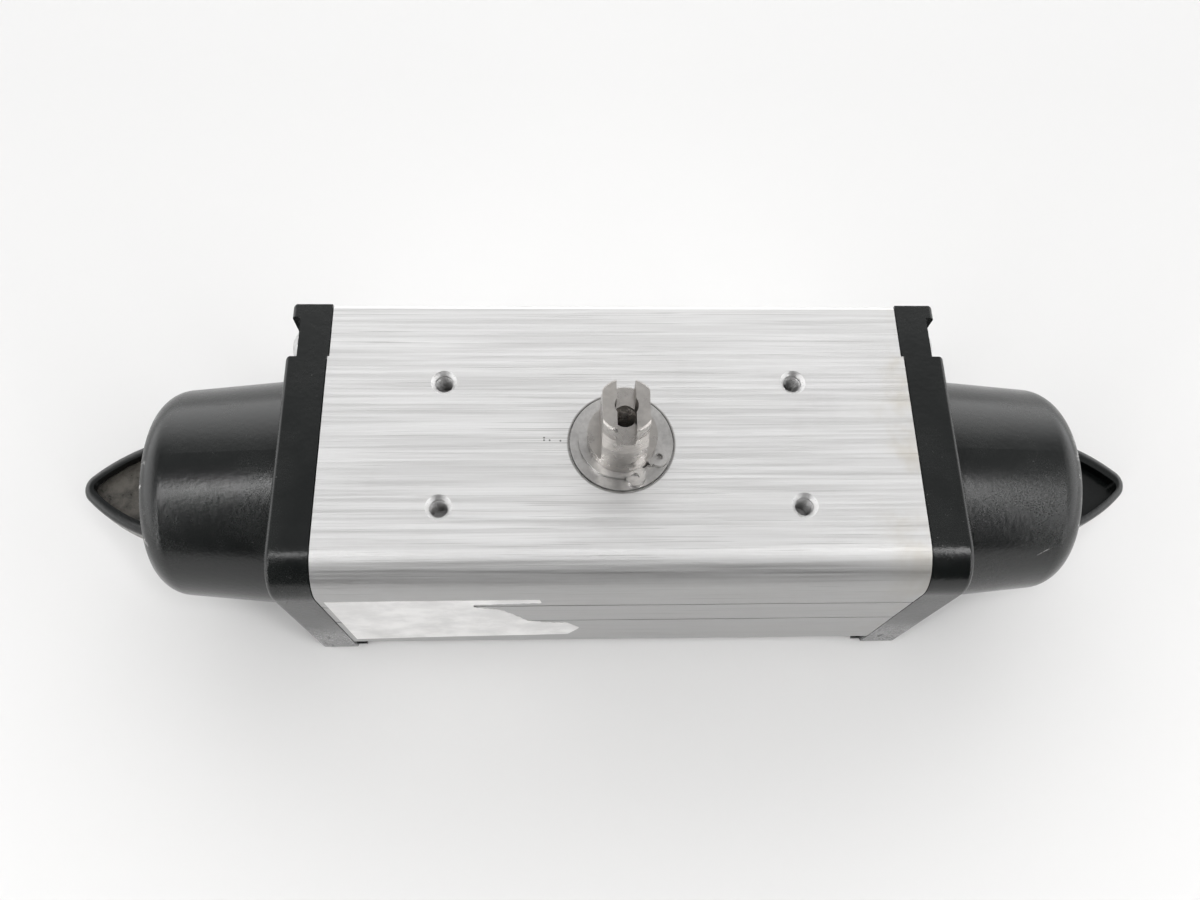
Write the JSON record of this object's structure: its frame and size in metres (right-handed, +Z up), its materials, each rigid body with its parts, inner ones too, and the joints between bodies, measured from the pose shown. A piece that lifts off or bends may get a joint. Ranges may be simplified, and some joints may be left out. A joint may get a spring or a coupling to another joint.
{
  "type": "rotary pneumatic actuator",
  "caption": "Spring-return quarter-turn pneumatic actuator: aluminium body, slotted drive shaft, pointed black spring caps and twin rack pistons inside.",
  "frame": {"origin": "on the shaft axis at the bottom mounting face", "axes": "+X along the piston bore towards the right-hand spring cap, +Y towards the solenoid valve pad, +Z up towards the slotted shaft end"},
  "size_m": [0.259, 0.0693, 0.082],
  "materials": {
    "extruded_aluminium": "fine brushed, anodised",
    "black_powder_coat": "semi-gloss powder coat with slight orange peel",
    "stainless_fasteners": "bright stainless",
    "nitrile_rubber": "matt",
    "plated_shaft_steel": "satin nickel plate",
    "retainer_steel": "satin",
    "bearing_polymer": "matt, low friction",
    "cast_aluminium": "die cast, anodised",
    "coated_spring_steel": "epoxy coated",
    "label_paper": "matt paper, worn"
  },
  "bodies": {
    "housing": {"cylinder_body": "extruded_aluminium", "left_end_cap": "black_powder_coat", "right_end_cap": "black_powder_coat", "left_cap_seal": "nitrile_rubber", "right_cap_seal": "nitrile_rubber", "left_cap_screws": "stainless_fasteners", "right_cap_screws": "stainless_fasteners", "top_shaft_bush": "bearing_polymer", "bottom_shaft_bush": "bearing_polymer", "top_washer": "retainer_steel", "left_outer_spring": "coated_spring_steel", "left_inner_spring": "coated_spring_steel", "right_outer_spring": "coated_spring_steel", "right_inner_spring": "coated_spring_steel", "front_label": "label_paper"},
    "shaft": {"output_shaft": "plated_shaft_steel", "snap_ring": "retainer_steel", "thrust_ring": "bearing_polymer", "top_shaft_seal": "nitrile_rubber", "bottom_shaft_seal": "nitrile_rubber"},
    "left_piston": {"left_piston": "cast_aluminium", "left_piston_seal": "nitrile_rubber", "left_piston_guide_ring": "bearing_polymer", "left_rack_pad": "bearing_polymer"},
    "right_piston": {"right_piston": "cast_aluminium", "right_piston_seal": "nitrile_rubber", "right_piston_guide_ring": "bearing_polymer", "right_rack_pad": "bearing_polymer"}
  },
  "joints": [
    {"name": "shaft_turn", "type": "hinge", "parent": "housing", "child": "shaft", "pos_m": [0, 0, 0.031], "axis": [0, 0, 1], "range_deg": [0, 90]},
    {"name": "left_piston_slide", "type": "slide", "parent": "housing", "child": "left_piston", "axis": [-1, 0, 0], "range_m": [0, 0.01963], "stiffness_N_per_m": 1500, "springref_m": -0.008, "deforming": ["left_outer_spring", "left_inner_spring"]},
    {"name": "right_piston_slide", "type": "slide", "parent": "housing", "child": "right_piston", "axis": [1, 0, 0], "range_m": [0, 0.0197], "deforming": ["right_outer_spring", "right_inner_spring"]}
  ],
  "couplings": [
    {"joint": "shaft_turn", "follows": "left_piston_slide", "rad_per_m": 80},
    {"joint": "right_piston_slide", "follows": "left_piston_slide", "ratio": 1}
  ]
}
